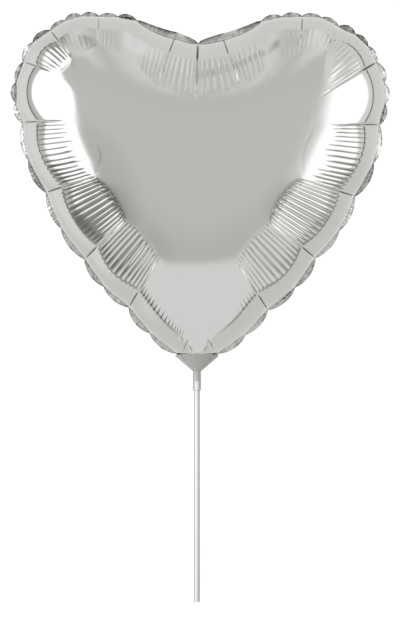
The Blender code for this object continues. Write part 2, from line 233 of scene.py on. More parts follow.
def makeStick(material):
    wall = (stick["radius"] - stick["bore"]) / 2
    lower = []
    for k in range(stick["endRings"]):
        # the wall's rounded end, from the outside to the bore
        angle = math.pi * k / (stick["endRings"] - 1)
        radius = stick["bore"] + wall + wall * math.cos(angle)
        lower.append((radius, stick["softEdge"] * (1.0 - math.sin(angle))))
    upper = [(radius, stick["length"] - z) for radius, z in lower]
    return turned("stick_tube", upper + lower[::-1], stick["sides"], material)


# Rim of the heart, clockwise from the cleft as seen from the front. Each row starts at a notch.
# Columns: notch x, notch z, where its fold ends x, z, bow of the rim after it, bow of the panel's inner end,
# pleat strength, how far in from the band to the panel's end the pleats run (0 for short spikes), over how
# much of it they fade, how much of the panel's width they cover (from its end when below 0), how dark the
# painted shade in the valleys between them is, fold strength at the notch (depth and painted shade), how far
# along the panel the notch's sides stay straight, bumps of the hem after it, painted dark spots at the panel's
# inner end
rimRows = (
    (0.0009, 0.5189, -0.0012, 0.464, -0.0006, 0, 1.5, 0.97, 0.2, 1, 0.5, 1.3, 0.8, 0.5, 0),
    (0.0242, 0.5231, 0.0405, 0.474, -0.0022, 0.002, 1.2, 0.97, 0.25, 0.7, 0.5, 1, 0.8, 0.5, 0),
    (0.0605, 0.5403, 0.069, 0.496, 0.0016, 0.002, 0.8, 0.97, 0.25, -0.4, 0, 0, 0, 2, 0),
    (0.0977, 0.5444, 0.0955, 0.507, 0.0036, 0.001, 0.8, 0.76, 0.4, -0.8, 0, 0.9, 0.8, 2, 0),
    (0.1315, 0.5349, 0.118, 0.506, 0.0061, 0.001, 1, 0.72, 0.5, 1, 0.6, 0.5, 0.35, 3, 0),
    (0.1671, 0.5017, 0.11, 0.466, 0.007, 0.004, 0.06, 0.6, 0.3, 1, 0, 1.6, 0.5, 3, 0),
    (0.1693, 0.4436, 0.112, 0.441, 0.0065, 0.002, 1.1, 0.75, 0.4, 1, 1, 1, 0.7, 2, 0),
    (0.1463, 0.3771, 0.093, 0.392, 0.005, 0.006, 1.25, 0.98, 0.12, 1, 0.7, 1.2, 0.8, 2, 0.6),
    (0.1097, 0.3199, 0.066, 0.354, 0.0045, 0.003, 1.15, 0.98, 0.12, 1, 0.5, 1.2, 0.8, 2, 0),
    (0.0656, 0.2718, 0.0363, 0.318, 0.0035, 0, 0.3, 0, 0.3, 0.35, 0.8, 1.2, 0, 2, 0),
    (0.0195, 0.2315, 0.012, 0.256, 0, 0, 0, 0, 0.3, 1, 0, 0, 0, 0, 0),
    (0.006, 0.2195, 0.004, 0.245, 0, 0, 0, 0, 0.3, 1, 0, 0, 0, 0, 0),
    (-0.006, 0.2195, -0.002, 0.245, 0, 0, 0, 0, 0.3, 1, 0, 0, 0, 0, 0),
    (-0.0195, 0.2315, -0.011, 0.256, 0.0035, 0, 0.5, 0, 0.3, 1, 1, 0, 0, 2, 0),
    (-0.0632, 0.2742, -0.0345, 0.3215, 0.0042, 0.003, 1.1, 0.98, 0.12, 1, 0.6, 1.2, 0, 2, 0),
    (-0.1042, 0.319, -0.065, 0.356, 0.0047, 0.004, 0.5, 0.98, 0.12, 1, 0.7, 1.2, 0.8, 2, 0.7),
    (-0.1399, 0.3807, -0.092, 0.3945, 0.006, -0.004, 1, 0.95, 0.3, 1, 1, 1.2, 0.8, 2, 0),
    (-0.1618, 0.4455, -0.113, 0.446, 0.0075, 0.011, 0.06, 0.6, 0.3, 1, 0, 0.9, 0.5, 3, 0),
    (-0.1613, 0.5022, -0.129, 0.489, 0.005, 0.003, 1.1, 0.88, 0.22, 1, 0.9, 0.9, 0.5, 2, 0),
    (-0.1363, 0.5314, -0.115, 0.504, 0.0056, 0.002, 0.35, 0.9, 0.3, -0.8, 0.5, 1, 0.8, 3, 0),
    (-0.0911, 0.5444, -0.0915, 0.516, 0.0014, 0.002, 0.8, 0.97, 0.2, 0.32, 0, 0.7, 0.8, 2, 0),
    (-0.0567, 0.5409, -0.06, 0.501, -0.0022, 0.002, 1.2, 0.97, 0.25, -0.5, 0.5, 0, 0, 0.5, 0),
    (-0.0207, 0.5245, -0.037, 0.476, -0.0006, 0, 1.5, 0.97, 0.25, 1, 0.5, 1, 0.8, 0.5, 0),
)
rimColumns = ("bow", "innerBow", "pleatStrength", "pleatReach", "pleatFade", "pleated", "valley", "fold",
              "straight", "bumps", "spots")  # those after the four places

# Wrinkles in the smooth middle, and gathers over the cup: depth of each, its painted shade, half the width
# of that, and places along it, x and z
creaseRows = (
    (0.00008, 0.52, 0.0030, (-0.0967, 0.4297), (-0.0884, 0.4176), (-0.0892, 0.4064), (-0.0930, 0.3965)),
    (0.00008, 0.50, 0.0026, (0.1064, 0.4576), (0.1091, 0.4403), (0.0991, 0.4217), (0.0958, 0.4046),
     (0.0985, 0.3938)),
    (0.00010, 0.47, 0.0012, (0.0423, 0.4740), (0.0632, 0.4880), (0.0818, 0.4950), (0.0946, 0.5040)),
    (0.00010, 0.44, 0.0012, (-0.0925, 0.5130), (-0.0577, 0.4948), (-0.0391, 0.4715)),
    (0.00045, 1.0, 0.0006, (-0.0158, 0.2475), (-0.0134, 0.2420)),
    (0.00045, 1.0, 0.0006, (-0.0093, 0.2450), (-0.0105, 0.2390), (-0.0134, 0.2325)),
    (0.00040, 1.0, 0.0006, (-0.0076, 0.2388), (-0.0047, 0.2330)),
    (0.00045, 1.0, 0.0006, (0.0102, 0.2445), (0.0130, 0.2400), (0.0158, 0.2352)),
    (0.00040, 1.0, 0.0006, (0.0101, 0.2388), (0.0065, 0.2325)),
)

foil = {
    "halfDepth": 0.0740,      # from the middle plane to the front of the full balloon
    "edgeGap": 0.0008,        # from the middle plane to the edge of each sheet
    "outlineSteps": 16,       # of the rim in a span
    "profileReach": 0.12,     # how far in from the rim a span's profile goes
    "profilePlaces": 241,
    "profileFoot": 0.003,     # it is straight up to here
    "bowReach": 0.036,        # how far in from the rim its bow can be felt
    "slowSide": 0.75,         # how much of a panel's width it comes in over where the notch isn't straight
    "aboveCup": 0.002,        # up to where the cup holds the sheet in
    "rows": 34,               # of the mesh, from the rim to the end of the panels
    "pastRows": (0.0014, 0.0034, 0.0062),  # rows past it, where every second column ends
    "centrePitch": 0.0036,    # mesh spacing in the smooth middle
    "fromEdge": 0.7,          # how far it stays clear of that ring, in spacings
    "fromCreases": 0.5,       # and of the wrinkles
    "creaseWidth": 0.0011,
    "creasePitch": 0.0012,    # mesh spacing along a wrinkle in the middle
    "foldWidth": 0.0009,
    "foldDepth": 0.0008,
    "foldFade": (1.0, 0.55),  # share of the panel where a fold is gone, and where it begins to fade
    "foldFoot": 0.002,
    "foldShade": 0.40,        # painted shade of a fold inside the band, where it is 1 on the band
    "band": 0.0125,           # smooth band along the rim, before the pleats start
    "bandSoft": 0.004,
    "ledge": 0.00018,         # step at the end of the panels
    "ledgeStrength": (0.0, 0.5),  # of the pleats, where there is none and where it is whole
    "ledgeReach": (0.75, 0.90),   # and how far in they run
    "ledgeFoot": 0.006,
    "ledgeFade": (1.02, 0.95),
    "ledgeSides": (0.02, 0.98),  # it runs out toward these shares of the panel's width
    "seed": 7,
}

pleats = {
    "pitch": 0.0045,          # between two fine pleats, halfway along them
    "crowding": 0.22,         # how much closer they lie next to a notch
    "columns": 8,             # of the mesh in a pleat
    "height": 0.00016,        # of a pleat of strength 1
    "uneven": (0.80, 1.20),   # pleats differ in height
    "unevenReach": (-0.35, 0.35),  # and in length
    "longest": 0.99,
    "foot": 0.0015,           # how softly they start
    "sideSoft": 0.16,         # and how softly the last one ends
    "valleyWidth": 0.00085,   # half of a valley's painted dark line
    "valleyEnds": (0.82, 1.06),
    "valleyFoot": 0.001,
    "valleyFade": (1.0, 0.80),
    "valleyStart": (0.65, 0.008),  # how dark its painted shade is on the band, and how far in it is at its darkest
    "longTaper": (0.6, 0.5, 1.0),  # where a line begins to narrow, by how much it does, and its width
    "spikeTaper": (0.2, 0.7, 1.25),
    "spike": 0.0105,          # how long the short spikes are, half as long next to the cup
    "spikeStart": 0.0048,     # and how far in from the band they start
    "spikeEnds": (0.250, 0.288),  # heights of the shortest and the longest ones
    "spotCells": (3, 49),     # cells of painted dark spots across a pleat, and along the panel
    "spotFades": ((0.72, 0.86), (1.01, 0.97)),
    "spotless": 0.35,         # share of cells without one
}


def spanList():
    spans = []
    for k, row in enumerate(rimRows):
        after = rimRows[(k + 1) % len(rimRows)]
        span, follower = (dict(zip(rimColumns, each[4:])) for each in (row, after))
        start, end = np.array(row[:2]), np.array(after[:2])
        along = unit(end - start)
        span.update(start=start, end=end, innerStart=np.array(row[2:4]), innerEnd=np.array(after[2:4]),
                    length=np.linalg.norm(end - start), along=along, inward=np.array((along[1], -along[0])),
                    nextFold=follower["fold"], nextStraight=follower["straight"])
        spans.append(span)
    return spans


def bowAt(bow, t):
    return 4.0 * bow * t * (1.0 - t)


def rimPoint(span, t):
    return between(span["start"], span["end"], t) - span["inward"] * bowAt(span["bow"], t)


def rimOutline(spans, steps):
    return np.array([rimPoint(s, k / steps) for s in spans for k in range(steps)])


def innerPoint(span, t):
    # the end of the panel, bowed a little toward the middle
    return between(span["innerStart"], span["innerEnd"], t) + span["inward"] * bowAt(span["innerBow"], t)


def innerLength(span):
    return np.linalg.norm(span["innerEnd"] - span["innerStart"])


def bulge(points, outline):
    # how far a film over the outline bulges at each point: pi over the sum of 1 / distance^2 along the outline
    nearest = 1e-7
    ends = np.roll(outline, -1, 0)
    lengths = lengthsOf(ends - outline)
    along = (ends - outline) / lengths[:, None]
    total = np.zeros(len(points))
    for start, length, (ax, az) in zip(outline, lengths, along):
        dx, dz = points[:, 0] - start[0], points[:, 1] - start[1]
        side = dx * az - dz * ax
        side = np.where(np.abs(side) < nearest, nearest, side)
        near = -(dx * ax + dz * az)
        total += (np.arctan((near + length) / side) - np.arctan(near / side)) / side
    return math.pi / total


def filmHeight(share):
    # height of two sheets that can't stretch, from 0 at the rim to 1 at the peak
    angles = np.linspace(0.0, math.pi / 2, 2000)
    slopes = np.sqrt(np.sin(angles))
    heights = np.concatenate(([0.0], np.cumsum((slopes[1:] + slopes[:-1]) / 2)))
    heights = 1.0 - heights / heights[-1]
    return np.interp(np.arcsin(np.clip(1.0 - share, 0.0, 1.0)), angles, heights)


def panelColumns(spans):
    # the columns of the mesh: ends on the rim and inside, span number, share along the span, turn of the pleats
    columns = []
    shares = np.linspace(0.0, 1.0, 400)
    crowded = shares + pleats["crowding"] * np.sin(2.0 * math.pi * shares) / (2.0 * math.pi)
    for number, span in enumerate(spans):
        span["pleatCount"] = max(2, round((span["length"] + innerLength(span)) / 2.0 / pleats["pitch"]))
        count = span["pleatCount"] * pleats["columns"]
        for k in range(count):
            t = float(np.interp(k / count, crowded, shares))
            columns.append((rimPoint(span, t), innerPoint(span, t), number, t, k / pleats["columns"]))
    return [np.array(part) for part in zip(*columns)]


def insideLoop(points, loop):
    # those of the points that lie inside it
    inside = np.zeros(len(points), dtype=bool)
    for (ax, az), (bx, bz) in zip(loop, np.roll(loop, -1, 0)):
        if az != bz:
            crosses = (points[:, 1] < az) != (points[:, 1] < bz)
            inside ^= crosses & (points[:, 0] < ax + (points[:, 1] - az) * (bx - ax) / (bz - az))
    return points[inside]


def clearOf(points, others, gap):
    # those of the points that lie further than the gap from the others
    return points[np.min(np.linalg.norm(points[:, None] - others[None], axis=2), axis=1) > gap]


def roundedLine(places):
    # the line with its corners cut off twice
    line = np.array(places)
    for _ in range(2):
        cut = [line[:1]]
        for a, b in zip(line, line[1:]):
            cut.append(np.array((a * 0.75 + b * 0.25, a * 0.25 + b * 0.75)))
        line = np.vstack(cut + [line[-1:]])
    return line


def lengthsAlong(line):
    return np.concatenate(([0.0], np.cumsum(lengthsOf(np.diff(line, axis=0)))))


def creaseGap(points, line):
    # distance of each point from the line, and where along it, from 0 to 1
    starts = lengthsAlong(line)
    gap, along = np.full(len(points), 1.0), np.zeros(len(points))
    for k, length in enumerate(np.diff(starts)):
        step = line[k + 1] - line[k]
        t = np.clip((points - line[k]) @ step / length ** 2, 0.0, 1.0)
        here = lengthsOf(points - line[k] - t[:, None] * step)
        along = np.where(here < gap, (starts[k] + t * length) / starts[-1], along)
        gap = np.minimum(gap, here)
    return gap, along


def creasePoints():
    # rows of mesh points on and beside every wrinkle
    rows = []
    for row in creaseRows:
        line = roundedLine(row[3:])
        lengths = lengthsAlong(line)
        spots = np.linspace(0.0, lengths[-1], max(3, round(lengths[-1] / foil["creasePitch"])))
        middle = np.column_stack([np.interp(spots, lengths, line[:, k]) for k in (0, 1)])
        turn = np.gradient(middle, axis=0)
        square = unitRows(np.column_stack((-turn[:, 1], turn[:, 0])))
        for aside in (-2.0, -1.0, 0.0, 1.0, 2.0):
            rows.append(middle + square * aside * foil["creaseWidth"])
    return np.vstack(rows)


def fillMiddle(loop, pitch):
    # triangles inside the loop, with even points at the given spacing and rows of points along the wrinkles
    low, high = loop.min(0), loop.max(0)
    rows = np.arange(low[1], high[1], pitch * math.sqrt(0.75))
    grid = [(x + (k % 2) * pitch / 2, z) for k, z in enumerate(rows) for x in np.arange(low[0], high[0], pitch)]
    grid = clearOf(insideLoop(np.array(grid), loop), loop, foil["fromEdge"] * pitch)
    lines = clearOf(insideLoop(creasePoints(), loop), loop, foil["creaseWidth"])
    grid = np.vstack((lines, clearOf(grid, lines, foil["fromCreases"] * pitch)))
    points = np.vstack((loop, grid))
    found = delaunay_2d_cdt([tuple(p) for p in points], [], [list(range(len(loop)))], 1, 1e-9)
    order = [origin[0] for origin in found[3]]
    faces = []
    for face in found[2]:
        a, b, c = (order[v] for v in face)
        turn = np.cross(points[b] - points[a], points[c] - points[a])
        faces.append((a, b, c) if turn > 0 else (a, c, b))
    return grid, faces


def buildSheet(spans):
    # one mesh in the plane of the rim: columns across the panels, then an even middle
    outer, inner, numbers, shares, turns = panelColumns(spans)
    across = inner - outer
    lengths = lengthsOf(across)
    steps = np.arange(foil["rows"] + 1) / foil["rows"]
    steps = 0.5 * steps + 0.25 * (1.0 - np.cos(math.pi * steps))
    rows = [outer + across * step for step in steps]
    rows += [inner + across / lengths[:, None] * past for past in foil["pastRows"]]
    keep = np.arange(len(outer))
    points, column, depth, faces = [], [], [], []
    upper, total = 0, 0
    for row, place in enumerate(rows):
        before, lower, upper = len(keep), upper, total
        thinned = row > foil["rows"]
        if thinned:
            keep = keep[::2]
        size = len(keep)
        points.append(place[keep])
        column.append(keep)
        depth.append(lengthsOf(place - outer)[keep])
        total += size
        if thinned:
            for i in range(size):
                a, b, c = lower + 2 * i, lower + 2 * i + 1, lower + (2 * i + 2) % before
                here, after = upper + i, upper + (i + 1) % size
                faces += [(b, a, here), (c, b, after), (b, here, after)]
        elif row > 0:
            faces += ringFaces(size, lower, upper, flip=True)
    grid, middle = fillMiddle(points[-1], foil["centrePitch"])
    faces += [tuple(upper + v for v in face) for face in middle]
    points = np.vstack(points + [grid])
    column = np.concatenate(column + [np.full(len(grid), -1)])
    depth = np.concatenate(depth + [np.full(len(grid), 1.0)])
    print("sheet", len(points), "points", len(faces), "faces")
    return {"points": points, "faces": faces, "column": column, "depth": depth, "lengths": lengths,
            "numbers": numbers, "shares": shares, "turns": turns, "inner": inner}


def spanProfiles(spans, outline):
    # how the film bulges in from the middle of each span's rim
    tests = np.linspace(0.0, foil["profileReach"], foil["profilePlaces"])
    first = int(np.searchsorted(tests, foil["profileFoot"]))
    profiles = []
    for span in spans:
        line = rimPoint(span, 0.5) + span["inward"] * np.maximum(tests, 1e-5)[:, None]
        value = bulge(line, outline)
        value[:first] = value[first] * tests[:first] / tests[first]
        profiles.append(np.maximum.accumulate(value))
    return tests, profiles


def distanceIn(spot, span):
    # how far in from the rim a point is, square to the span's straight line
    flat = (spot - span["start"]) @ span["inward"]
    t = np.clip((spot - span["start"]) @ span["along"] / span["length"], 0.0, 1.0)
    return np.maximum(flat + bowAt(span["bow"], t) * ease(flat, foil["bowReach"], 0.0), 0.0)


def panelBulge(spans, outline, place, number, share, run):
    # bulge of the panels, which are straight from side to side and meet at the folds
    tests, profiles = spanProfiles(spans, outline)
    panel = np.zeros(len(place))
    for k, span in enumerate(spans):
        mine = number == k
        before, after = spans[k - 1], spans[(k + 1) % len(spans)]
        along, t = run[mine][:, None], share[mine]
        startFold = between(span["start"], span["innerStart"], along)
        endFold = between(span["end"], span["innerEnd"], along)
        startShift = (distanceIn(startFold, before) - distanceIn(startFold, span)) / 2
        endShift = (distanceIn(endFold, after) - distanceIn(endFold, span)) / 2
        reach = distanceIn(place[mine], span) + (1.0 - t) * startShift + t * endShift
        own, left, right = (np.interp(reach, tests, profiles[j % len(spans)]) for j in (k, k - 1, k + 1))
        panel[mine] = (1.0 - t) * (own + left) / 2 + t * (own + right) / 2
    return panel


def sheetHeights(sheet, spans):
    # the full balloon's height over the plane of the rim: panels with straight sides, round in the middle
    outline = rimOutline(spans, foil["outlineSteps"])
    points = sheet["points"]
    smooth = bulge(points, outline)
    peak = smooth.max()
    ring = sheet["column"] >= 0
    column = sheet["column"][ring]
    number, share = sheet["numbers"][column], sheet["shares"][column]
    run = sheet["depth"][ring] / sheet["lengths"][column]
    panel = panelBulge(spans, outline, points[ring], number, share, run)
    panel[column == np.arange(len(column))] = 0.0
    # each panel rises to meet the round middle where it ends
    ends, whole = sheet["inner"], np.ones(len(sheet["inner"]))
    met = bulge(ends, outline) / panelBulge(spans, outline, ends, sheet["numbers"], sheet["shares"], whole)
    panel *= 1.0 + (met[column] - 1.0) * np.clip(run, 0.0, 1.0) ** 2
    # beside a notch without straight sides, the panel comes in over most of its width
    start, end = (np.array([span[key] for span in spans])[number] for key in ("straight", "nextStraight"))
    hold = np.minimum(np.where(start > 0, 1.0, ease(share, 0.0, foil["slowSide"])),
                      np.where(end > 0, 1.0, ease(share, 1.0, 1.0 - foil["slowSide"])))
    hold *= np.maximum(start, end) > 0
    start, end = np.where(start > 0, start, end), np.where(end > 0, end, start)
    straight = between(start, end, share)
    value = smooth.copy()
    value[ring] += (panel - smooth[ring]) * hold * ease(run, 1.0, straight)
    height = filmHeight(value / peak) * foil["halfDepth"]
    # low down, the sheet stays inside the cup
    room = coneRadius(points[:, 1]) - coneWall - cup["clear"]
    room = np.sqrt(np.maximum(room ** 2 - points[:, 0] ** 2, 0.0)) - foil["edgeGap"] - cup["clear"]
    low = points[:, 1] < coneRimZ(0.0) + foil["aboveCup"]
    return np.where(low, np.minimum(height, np.maximum(room, 0.0)), height)


def vertexNormals(points, faces):
    triangles = []
    for face in faces:
        triangles.append(face[:3])
        if len(face) == 4:
            triangles.append((face[0], face[2], face[3]))
    triangles = np.array(triangles)
    a, b, c = (points[triangles[:, k]] for k in range(3))
    normal = np.cross(b - a, c - a)
    total = np.zeros(points.shape)
    for k in range(3):
        for axis in range(3):
            total[:, axis] += np.bincount(triangles[:, k], normal[:, axis], len(points))
    return unitRows(total)


def panelRelief(span, dice, t, turns, inward, length, z):
    # relief and painted shade of a panel: share along the span, turn of the pleats, distance in from the rim,
    # length of the panel and height, at each point
    count, run = span["pleatCount"], inward / length
    start = foil["band"] + (0.0 if span["pleatReach"] else pleats["spikeStart"])
    inner = inward - start
    past = inner / (length - start)
    spike = pleats["spike"] * np.interp(z, pleats["spikeEnds"], (0.5, 1.0))
    whole = span["pleatReach"] or spike / (length - start)
    which = np.clip(np.floor(turns).astype(int), 0, count - 1)
    tall = dice.uniform(*pleats["uneven"], count)[which]
    reach = whole + span["pleatFade"] * dice.uniform(*pleats["unevenReach"], count)[which] * whole
    reach = np.minimum(reach, pleats["longest"])
    # each pleat is round on top, and two pleats meet in a sharp valley
    wave = np.abs(np.sin(math.pi * turns))
    wave *= ease(inner, -pleats["foot"], pleats["foot"])
    wave *= ease(past, reach, reach - span["pleatFade"] * whole)
    weight, pleated = 1.0, abs(span["pleated"])
    if pleated < 1.0:
        fromSide = t if span["pleated"] > 0 else 1.0 - t
        weight = ease(fromSide, pleated + pleats["sideSoft"], pleated)
    relief = pleats["height"] * span["pleatStrength"] * tall * wave * weight
    # painted shade: a dark line in each valley, which runs to a point
    nearest = np.round(turns).astype(int)
    toPoint = past / whole / dice.uniform(*pleats["valleyEnds"], count + 1)[nearest]
    full, thin, wide = pleats["longTaper" if span["pleatReach"] else "spikeTaper"]
    narrow = wide * pleats["valleyWidth"] * (1.0 - thin * np.clip((toPoint - full) / (1.0 - full), 0.0, 1.0))
    width = between(span["length"], innerLength(span), run)
    valley = span["valley"] * np.exp(-((turns - nearest) * width / count / narrow) ** 2) * weight
    valley *= ease(inner, -pleats["valleyFoot"], pleats["valleyFoot"])
    valley *= ease(toPoint, *pleats["valleyFade"])
    if span["pleatReach"]:
        least, darkest = pleats["valleyStart"]
        valley *= between(least, 1.0, ease(inner, 0.0, darkest))
    # painted shade: dark spots at the panel's inner end, in random cells
    across, along = pleats["spotCells"]
    cells = dice.random((across * count + 1, along + 1))
    cells = cells[(across * turns).astype(int), (along * np.clip(past, 0.0, 1.0)).astype(int)]
    coming, going = pleats["spotFades"]
    spots = ease(past, *coming) * ease(past, *going) * (cells > pleats["spotless"])
    valley = np.maximum(valley, span["spots"] * spots)
    fold = np.zeros(len(t))
    for gap, strength in ((t * width, span["fold"]), ((1.0 - t) * width, span["nextFold"])):
        fold += strength * np.exp(-(gap / foil["foldWidth"]) ** 2)
    fold *= ease(run, *foil["foldFade"]) * ease(inward, 0.0, foil["foldFoot"])
    # panels with long, strong pleats end in a step
    step = ease(span["pleatStrength"], *foil["ledgeStrength"]) * ease(whole, *foil["ledgeReach"])
    step *= foil["ledge"] * np.sqrt(np.sin(math.pi * np.clip(t, *foil["ledgeSides"])))
    step *= ease(inner, 0.0, foil["ledgeFoot"]) * ease(run, *foil["ledgeFade"])
    # painted shade of the folds, less of it off the band, and of the valleys
    inBand = ease(inward, foil["band"] + foil["bandSoft"], foil["band"])
    shade = np.maximum(fold * between(foil["foldShade"], 1.0, inBand), valley)
    return relief - foil["foldDepth"] * fold - step, shade


def reliefOf(sheet, spans, seed):
    # height of the pleats and depth of the folds at each point, along the normal, and their painted shade
    dice = np.random.default_rng(seed)
    points = sheet["points"]
    relief, dark = np.zeros(len(points)), np.zeros(len(points))
    ring = np.flatnonzero(sheet["column"] >= 0)
    for k, span in enumerate(spans):
        mine = ring[sheet["numbers"][sheet["column"][ring]] == k]
        column = sheet["column"][mine]
        relief[mine], dark[mine] = panelRelief(span, dice, sheet["shares"][column], sheet["turns"][column],
                                               sheet["depth"][mine], sheet["lengths"][column], points[mine, 1])
    for depth, shade, shadeWidth, *places in creaseRows:
        gap, along = creaseGap(points, roundedLine(places))
        ends = np.sqrt(np.sin(math.pi * np.clip(along, 0.0, 1.0)))
        relief -= depth * ends * np.exp(-(gap / foil["creaseWidth"]) ** 2)
        # painted shade along each wrinkle
        dark = np.maximum(dark, shade * ends * np.exp(-(gap / shadeWidth) ** 2))
    return relief, np.clip(dark, 0.0, 1.0)


def makeFoil(name, sheet, heights, relief, shade, side, material):
    # side is -1 for the front half and 1 for the back one
    points, faces = sheet["points"], sheet["faces"]
    solid = np.column_stack((points[:, 0], -heights, points[:, 1]))
    normal = vertexNormals(solid, faces)
    rim = slice(len(sheet["inner"]))
    normal[rim, 1] = 0.0
    normal[rim] = unitRows(normal[rim])
    solid = solid + normal * relief[:, None]
    solid[:, 1] = np.minimum(solid[:, 1], 0.0) - foil["edgeGap"]
    if side > 0:
        solid[:, 1] *= -1.0
        faces = [face[::-1] for face in faces]
    return addMesh(name, solid, faces, material, shade)


# Sealed hem: the flat border of the two sheets, gathered into bumps
hem = {
    "reach": 0.0040,          # of a bump beyond the rim
    "cleftReach": 0.0058,     # of the two broad ones beside the cleft
    "round": 0.75,            # power of a bump's outline
    "broadRound": 0.5,
    "sizes": (0.80, 1.12),
    "valley": 0.0005,         # between two bumps
    "overlap": 0.0018,        # of the hem inside the rim
    "inCup": 0.0010,          # where it lies in the cup
    "ruffle": 0.0021,         # how far a bump stands forward or back
    "ruffleRound": 1.3,       # power of that, going out
    "calm": (0.30, 0.43),     # below these heights it lies flatter
    "calmest": 0.3,
    "calmShade": 0.65,
    "crinkle": 0.00042,
    "crinkleFrom": 0.3,       # share of the reach where it starts
    "pinch": 2.2,             # power of the painted shade in the pinches
    "pinchRise": 2.0,         # how fast they darken, going out
    # painted shade along a bump's outer edge, and a painted highlight on each bump
    "edgeShade": 0.95,
    "edgePower": 3,
    "bright": 0.4,
    "brightAt": 0.62,         # share of a bump where its painted highlight is
    "brightFade": (0.14, 0.06),
    "dim": (0.485, 0.520),    # above these heights it has more painted shade
    "dimmer": 0.26,
    "halfThickness": 0.00015,
    "stepsPerBump": 18,
    "leastSteps": 6,          # in a span
    "rows": (-1.0, 0.0, 0.22, 0.45, 0.70, 0.88, 1.0),
    "seed": 11,
}


def squareTo(along):
    return unit(np.array((-along[1], along[0])))


def hemStations(spans):
    # stations round the hem, each with its place on the rim, what its bump is like, and where it is on that
    dice = np.random.default_rng(hem["seed"])
    near = 0.01  # share of a span that gives its direction
    stations, phase = [], 0.0
    for number, span in enumerate(spans):
        bumps = span["bumps"]
        steps = max(hem["leastSteps"], round(hem["stepsPerBump"] * bumps))
        for k in range(steps):
            t, at = k / steps, phase + bumps * k / steps
            along = rimPoint(span, t + near) - rimPoint(span, t - near)
            if k == 0:
                # at a notch, between the two spans
                turn = rimPoint(spans[number - 1], 1.0) - rimPoint(spans[number - 1], 1.0 - near)
                along = unit(turn) + unit(along)
            bump = math.floor(at)
            stations.append({"place": rimPoint(span, t), "outward": squareTo(along), "share": at - bump,
                             "bump": bump, "flat": bumps == 0, "broad": 0 < bumps < 1})
        phase += bumps
    count = math.ceil(phase) + 1
    sizes = dice.uniform(*hem["sizes"], count)
    sides = np.where(dice.random(count) < 0.5, 1.0, -1.0)
    for station in stations:
        if station["flat"]:
            station.update(reach=hem["inCup"], ruffle=0.0, hill=1.0)
            continue
        bump, broad = station["bump"], station["broad"]
        hill = math.sin(math.pi * station["share"])
        rise = max(hill, 0.0) ** hem["broadRound" if broad else "round"]
        reach = hem["cleftReach"] if broad else hem["reach"] * sizes[bump]
        lively = between(hem["calmest"], 1.0, ease(station["place"][1], *hem["calm"]))
        station.update(reach=between(hem["valley"], reach, rise), hill=hill, lively=lively,
                       ruffle=hem["ruffle"] * sides[bump] * hill * lively)
    return stations


def hemShade(station, row):
    # painted shade in the pinches and along the outer edge, but for a painted highlight on each bump
    pinch = (1.0 - station["hill"]) ** hem["pinch"] * min(1.0, hem["pinchRise"] * row)
    bright = ease(abs(station["share"] - hem["brightAt"]), *hem["brightFade"])
    edge = hem["edgeShade"] * row ** hem["edgePower"] * (1.0 - bright)
    return max(pinch, edge) * between(hem["calmShade"], 1.0, station["lively"]) - hem["bright"] * bright * row


def makeHem(spans, material):
    dice = np.random.default_rng(hem["seed"] + 1)
    stations = hemStations(spans)
    rows, count = hem["rows"], len(stations)
    grid = np.zeros((len(rows), count, 3))
    shade = np.zeros((len(rows), count))
    for i, station in enumerate(stations):
        for j, row in enumerate(rows):
            far = row * (station["reach"] if row > 0 else hem["overlap"])
            x, z = station["place"] + station["outward"] * far
            lift = station["ruffle"] * max(row, 0.0) ** hem["ruffleRound"]
            if row > hem["crinkleFrom"] and not station["flat"]:
                lift += dice.uniform(-1.0, 1.0) * hem["crinkle"] * station["hill"] * station["lively"]
            grid[j, i] = (x, lift, z)
            if row > 0 and not station["flat"]:
                # painted shade, with more of it higher up
                shade[j, i] = hemShade(station, row) + hem["dimmer"] * ease(z, *hem["dim"])
    normal = np.array((0.0, hem["halfThickness"], 0.0))
    points = np.concatenate(((grid - normal).reshape(-1, 3), (grid + normal).reshape(-1, 3)))
    faces, back = [], len(rows) * count
    for near in range(0, back - count, count):
        faces += ringFaces(count, near, near + count)
        faces += ringFaces(count, back + near, back + near + count, flip=True)
    faces += ringFaces(count, back - count, 2 * back - count)
    faces += ringFaces(count, 0, back, flip=True)
    return addMesh("rim_hem", points, faces, material, np.tile(shade.ravel(), 2))


# Materials

def addNode(tree, kind, inputs, **settings):
    # a node with these settings and inputs, each a value or another node's output
    node = tree.nodes.new("ShaderNode" + kind)
    for name, value in settings.items():
        setattr(node, name, value)
    feed(tree, node, inputs)
    return node


def feed(tree, node, inputs):
    for name, value in inputs.items():
        if isinstance(value, bpy.types.NodeSocket):
            tree.links.new(value, node.inputs[name])
        else:
            node.inputs[name].default_value = value


def mapped(tree, value, start=0.0, end=1.0, low=0.0, high=1.0, **settings):
    # the value, taken from the range between start and end to the one between low and high
    inputs = {"Value": value, "From Min": start, "From Max": end, "To Min": low, "To Max": high}
    return addNode(tree, "MapRange", inputs, **settings).outputs["Result"]


def newMaterial(name):
    material = bpy.data.materials.new(name)
    material.use_nodes = True
    return material, material.node_tree


def shaded(material, inputs):
    feed(material.node_tree, material.node_tree.nodes["Principled BSDF"], inputs)
    return material


def objectPlace(tree):
    return addNode(tree, "TexCoord", {}).outputs["Object"]


def foldShade(tree):
    # the painted shade at each point, which the meshes carry
    return addNode(tree, "Attribute", {}, attribute_name="fold").outputs["Fac"]


def bumpOf(tree, height, strength, distance):
    bump = addNode(tree, "Bump", {"Height": height, "Strength": strength, "Distance": distance})
    return bump.outputs["Normal"]


def blend(tree, factor, under, over):
    under, over = ((*c, 1.0) if isinstance(c, tuple) else c for c in (under, over))
    return addNode(tree, "Mix", {"Factor": factor, "A": under, "B": over}, data_type="RGBA").outputs["Result"]


